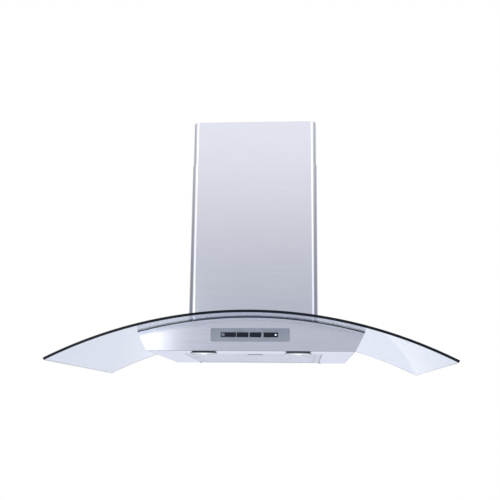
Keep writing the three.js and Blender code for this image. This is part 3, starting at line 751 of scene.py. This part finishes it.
lower_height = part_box("lower_cover_front")[0].z + 0.045
upper_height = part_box("upper_cover_front")[1].z - 0.0045
lower_places = cover_places("lower_cover_front", lower_height, 0.010)
upper_places = cover_places("upper_cover_front", upper_height, 0.016)
screw_set("lower_cover_screws", lower_places, "lower_cover", bolt_steel)
screw_set("upper_cover_screws", upper_places, "ceiling_frame", bolt_steel, FLUSH_SCREW)
screw_set("tray_screws", tray_places(), "hood", dark_nickel_and_painted_shade, scale=0.8)

# ---------------------------------------------------------------- camera, light and floor

# The camera's place in metres, its turns, and its sensor and focal length in millimetres.
CAMERA = Vector((0.1138, -1.8972, -0.7123))
YAW, PITCH, ROLL = math.radians(-3.97), math.radians(12.16), math.radians(0.66)
SENSOR = 36.0
FOCAL = 53.1576


def camera_matrix():
    """The camera's place and turns as one matrix."""
    forward = Vector((math.sin(YAW) * math.cos(PITCH), math.cos(YAW) * math.cos(PITCH), math.sin(PITCH)))
    right = Vector((math.cos(YAW), -math.sin(YAW), 0))
    up = right.cross(forward)
    r = right * math.cos(ROLL) + up * math.sin(ROLL)
    u = up * math.cos(ROLL) - right * math.sin(ROLL)
    turn = Matrix((r, u, -forward)).transposed().to_4x4()
    return Matrix.Translation(CAMERA) @ turn


camera_data = bpy.data.cameras.new("camera")
camera_data.lens = FOCAL
camera_data.sensor_width = SENSOR
camera = bpy.data.objects.new("camera", camera_data)
camera.matrix_world = camera_matrix()
bpy.context.collection.objects.link(camera)
bpy.context.scene.camera = camera

world = bpy.data.worlds.new("studio")
bpy.context.scene.world = world
world.use_nodes = True
world_tree = world.node_tree
background = world_tree.nodes["Background"]


def world_node(kind, *links, **values):
    """A node of the world with its inputs linked or set in order, and its first output."""
    node = world_tree.nodes.new(kind)
    for key, value in values.items():
        setattr(node, key, value)
    for socket, value in zip(node.inputs, links):
        if hasattr(value, "is_output"):
            world_tree.links.new(value, socket)
        else:
            socket.default_value = value
    return node.outputs[0]


def world_math(operation, *values):
    """The output of a Math node."""
    return world_node("ShaderNodeMath", *values, operation=operation)


def world_span(value, *limits):
    """A value mapped smoothly from its first two limits to the last two."""
    return world_node("ShaderNodeMapRange", value, *limits, interpolation_type="SMOOTHSTEP")


def world_mix(factor, a, b):
    """A colour between a and b, which are either colours or outputs."""
    node = world_tree.nodes.new("ShaderNodeMix")
    node.data_type = "RGBA"
    colours = [socket for socket in node.inputs if socket.type == "RGBA"]
    for value, socket in zip((a, b), colours):
        if hasattr(value, "is_output"):
            world_tree.links.new(value, socket)
        else:
            socket.default_value = (*value, 1)
    world_tree.links.new(factor, node.inputs["Factor"])
    return [socket for socket in node.outputs if socket.type == "RGBA"][0]


def world_directions():
    """The direction's height, its depth and how far it points to either side."""
    direction = world_tree.nodes.new("ShaderNodeTexCoord")
    split = world_tree.nodes.new("ShaderNodeSeparateXYZ")
    world_tree.links.new(direction.outputs["Generated"], split.inputs[0])
    return split.outputs["Z"], split.outputs["Y"], world_math("ABSOLUTE", split.outputs["X"])


def world_light(height, depth, side):
    """What the pieces reflect: a front with tall boxes that brightens upwards, dark sides and a rear."""
    rising = world_span(height, 0.09, 0.42, 0.72, 1.32)
    gradient = world_math("MULTIPLY", rising, world_span(height, 0.46, 0.8, 1, 0.68))
    is_front = world_span(depth, -0.1, 0.1, 1, 0)
    is_rear = world_math("SUBTRACT", 1.0, is_front)
    box_end = world_span(side, 0.62, 0.76, 1, 0)
    boxes = world_math("MULTIPLY", world_span(side, 0.26, 0.36, 0, 0.78), box_end)
    fading = world_span(height, 0.14, 0.5, 1, 0.2)
    sides = world_math("MULTIPLY", world_span(side, 0.76, 0.9, 0, 0.5), fading)
    front = world_math("ADD", gradient, world_math("MULTIPLY", boxes, is_front))
    rear_level = world_span(height, -0.1, -0.075, 0.98, 0.84)
    rear = world_math("MULTIPLY", world_math("SUBTRACT", rear_level, front), is_rear)
    return world_math("MULTIPLY", world_math("ADD", front, rear), world_math("SUBTRACT", 1.0, sides))


height, depth, side_reach = world_directions()
lit = world_light(height, depth, side_reach)
seen = world_tree.nodes.new("ShaderNodeLightPath")
direct = world_math("MAXIMUM", seen.outputs["Is Camera Ray"], seen.outputs["Is Transmission Ray"])
missing = world_math("MULTIPLY", direct, world_math("SUBTRACT", 1.0, lit))
world_tree.links.new(world_math("ADD", lit, missing), background.inputs["Strength"])
cool = world_mix(world_span(height, 0.05, 0.3, 0, 1), (0.94, 0.96, 1.085), (0.985, 0.99, 1.02))
world_tree.links.new(world_mix(direct, cool, (1, 1, 1)), background.inputs["Color"])


def soft_lamp(name, place, target, size, power):
    """A rectangular lamp that shines from place to target and can't be seen itself."""
    data = bpy.data.lights.new(name, "AREA")
    data.shape = "RECTANGLE"
    data.size, data.size_y = size
    data.energy = power
    lamp = bpy.data.objects.new(name, data)
    lamp.location = place
    lamp.rotation_mode = "QUATERNION"
    lamp.rotation_quaternion = (Vector(target) - Vector(place)).to_track_quat("-Z", "Y")
    lamp.visible_camera = False
    bpy.context.collection.objects.link(lamp)


soft_lamp("low_left", (-1.15, -3.1, -0.26), (-0.15, -0.2, -0.55), (0.8, 0.6), 2.5)

FLOOR_RADIUS = 12.0
FLOOR_LEVEL = -2.35
floor_mesh = bpy.data.meshes.new("floor")
bm = bmesh.new()
bmesh.ops.create_circle(bm, cap_ends=True, segments=96, radius=FLOOR_RADIUS)
bm.to_mesh(floor_mesh)
bm.free()
floor = bpy.data.objects.new("floor", floor_mesh)
floor.location.z = FLOOR_LEVEL
bpy.context.collection.objects.link(floor)


def floor_paper():
    """Pale paper that brightens into the white of the studio towards its rim."""
    m = Nodes("floor_paper")
    where = m.new("ShaderNodeTexCoord")
    away = m.new("ShaderNodeVectorMath", operation="LENGTH")
    m.link(where.outputs["Object"], away.inputs[0])
    fibres = m.noise(60, detail=3)
    tone = m.mix(m.span(fibres, 0, 1), (0.80, 0.812, 0.855), (0.84, 0.852, 0.89))
    m.link(tone, m.shader.inputs["Base Color"])
    m.set(Roughness=0.9, Emission_Color=(1, 1, 1, 1))
    rim = m.span(away.outputs["Value"], 0, 0.2, FLOOR_RADIUS * 0.65, FLOOR_RADIUS)
    m.link(rim, m.shader.inputs["Emission Strength"])
    return m.material


floor.data.materials.append(floor_paper())

bpy.context.scene.view_settings.view_transform = "Standard"
